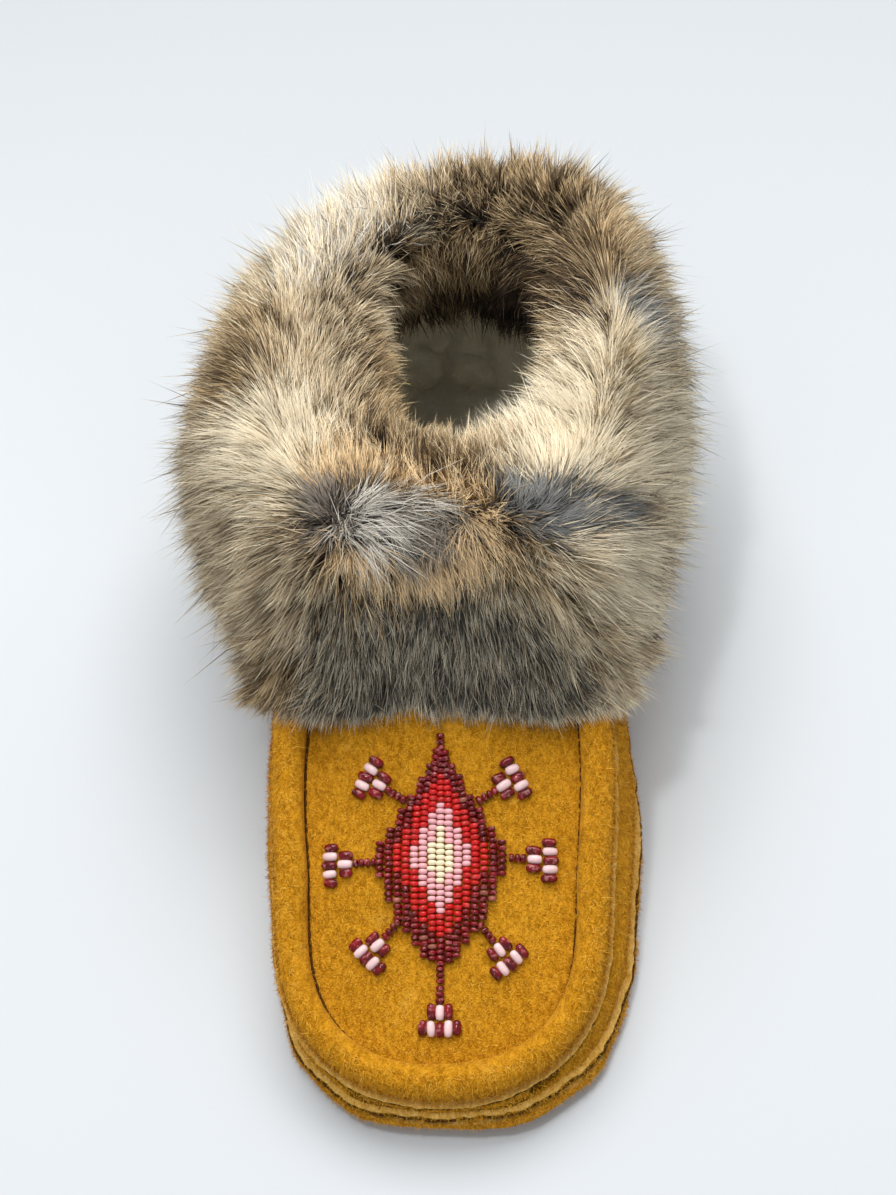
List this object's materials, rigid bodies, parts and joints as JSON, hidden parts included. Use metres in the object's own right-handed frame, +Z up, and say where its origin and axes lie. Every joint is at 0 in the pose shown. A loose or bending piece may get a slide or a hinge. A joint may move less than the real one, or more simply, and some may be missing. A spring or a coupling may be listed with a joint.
{
  "type": "beaded moccasin",
  "caption": "Suede slipper moccasin with a rolled seam round a beaded vamp, a flat sewn sole, a fleece footbed and a deep rabbit fur cuff round the ankle",
  "frame": {"origin": "middle of the bottom of the whole shoe's box, on the floor under the sole", "axes": "-Y toward the toe, +Z up, +X to the right of someone who faces the toe"},
  "size_m": [0.1486, 0.2632, 0.1072],
  "materials": {
    "suede": "napped golden suede",
    "sole_suede": "napped suede",
    "fleece": "curly cream pile",
    "fur": "soft grey-brown rabbit fur with cream tips",
    "beads": "glossy seed beads, red, dark, pink and cream"
  },
  "bodies": {
    "root": {"sole": "sole_suede", "insole": "fleece", "upper": "suede", "vamp": "suede", "fur_cuff": "fur", "bead_diamond": "beads", "bead_fan_1": "beads", "bead_fan_2": "beads", "bead_fan_3": "beads", "bead_fan_4": "beads", "bead_fan_5": "beads", "bead_fan_6": "beads", "bead_fan_7": "beads"}
  },
  "joints": []
}
